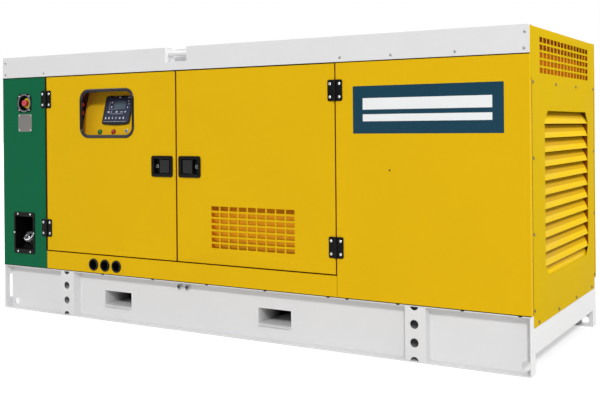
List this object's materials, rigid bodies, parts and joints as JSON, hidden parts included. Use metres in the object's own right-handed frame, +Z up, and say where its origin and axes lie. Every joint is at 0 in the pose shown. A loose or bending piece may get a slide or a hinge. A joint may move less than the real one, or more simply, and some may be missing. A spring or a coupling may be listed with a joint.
{
  "type": "enclosed diesel generator set",
  "caption": "Box-shaped canopy with hinged front doors, louvred ends and roof rails on a steel channel base with fork pockets.",
  "frame": {"origin": "on the floor, in the middle of the base", "axes": "+X along the set to the louvred air outlet, the doors face -Y, +Z up"},
  "size_m": [3.6, 1.351, 1.68],
  "materials": {
    "white_paint": "semi-gloss off-white paint",
    "yellow_paint": "satin traffic-yellow paint",
    "green_paint": "satin deep green paint",
    "black_plastic": "moulded black",
    "black_rubber": "black rubber",
    "clear_pane": "clear pane",
    "zinc": "bright plated steel",
    "navy_plastic": "dark navy plastic",
    "green_lens": "green lamp lens",
    "red_plastic": "red plastic",
    "grey_plastic": "mid-grey plastic",
    "plate_metal": "blank rating plate"
  },
  "bodies": {
    "enclosure": {"base_sides": "white_paint", "base_ends": "white_paint", "hoisting_posts": "white_paint", "fork_pockets": "white_paint", "base_deck": "white_paint", "drain_stubs": "zinc", "corner_posts": "yellow_paint", "green_panels": "green_paint", "fixed_panels": "yellow_paint", "sill_panels": "yellow_paint", "left_end_header": "green_paint", "left_end_panel": "green_paint", "left_louvres": "green_paint", "right_end_header": "yellow_paint", "right_end_panel": "yellow_paint", "right_louvres": "yellow_paint", "roof_rails": "white_paint", "roof_panel": "yellow_paint", "lifting_pockets": "white_paint", "lifting_bars": "white_paint", "door_frames": "yellow_paint", "back_doors": "yellow_paint", "back_door_fittings": "black_plastic", "control_console": "yellow_paint", "console_stand": "yellow_paint", "controller": "navy_plastic", "lamp_green": "green_lens", "lamp_red": "red_plastic", "hinges_fixed": "black_plastic", "estop_housing": "grey_plastic", "data_plate": "plate_metal", "filler_box": "black_plastic", "filler_cap": "zinc", "cable_grommets": "black_rubber"},
    "door_left": {"front_left_door": "yellow_paint", "window_rubber": "black_rubber", "window_pane": "clear_pane", "hinges_left_door": "black_plastic", "lock_left": "black_plastic"},
    "door_right": {"front_right_door": "yellow_paint", "vent_hood": "yellow_paint", "hinges_right_door": "black_plastic", "lock_right": "black_plastic"},
    "left_paddle": {"paddle_left": "black_plastic"},
    "right_paddle": {"paddle_right": "black_plastic"},
    "stop_button": {"estop_button": "red_plastic"},
    "key": {"key_switch": "zinc"}
  },
  "joints": [
    {"name": "left_door_hinge", "type": "hinge", "parent": "enclosure", "child": "door_left", "pos_m": [-1.394, -0.668, 0.97], "axis": [0, 0, -1], "range_deg": [0, 110]},
    {"name": "right_door_hinge", "type": "hinge", "parent": "enclosure", "child": "door_right", "pos_m": [0.752, -0.668, 0.97], "axis": [0, 0, 1], "range_deg": [0, 110]},
    {"name": "left_paddle_pull", "type": "hinge", "parent": "door_left", "child": "left_paddle", "pos_m": [-0.443, -0.653, 0.97], "axis": [0, 0, -1], "range_deg": [0, 30], "stiffness_Nm_per_rad": 0.6, "springref_deg": -11.46},
    {"name": "right_paddle_pull", "type": "hinge", "parent": "door_right", "child": "right_paddle", "pos_m": [-0.207, -0.653, 0.97], "axis": [0, 0, 1], "range_deg": [0, 30], "stiffness_Nm_per_rad": 0.6, "springref_deg": -11.46},
    {"name": "stop_push", "type": "slide", "parent": "enclosure", "child": "stop_button", "axis": [0, 1, 0], "range_m": [0, 0.005]},
    {"name": "key_turn", "type": "hinge", "parent": "enclosure", "child": "key", "pos_m": [-0.768, -0.58606, 1.18093], "axis": [0, 0.9613, -0.2756], "range_deg": [0, 90]}
  ]
}
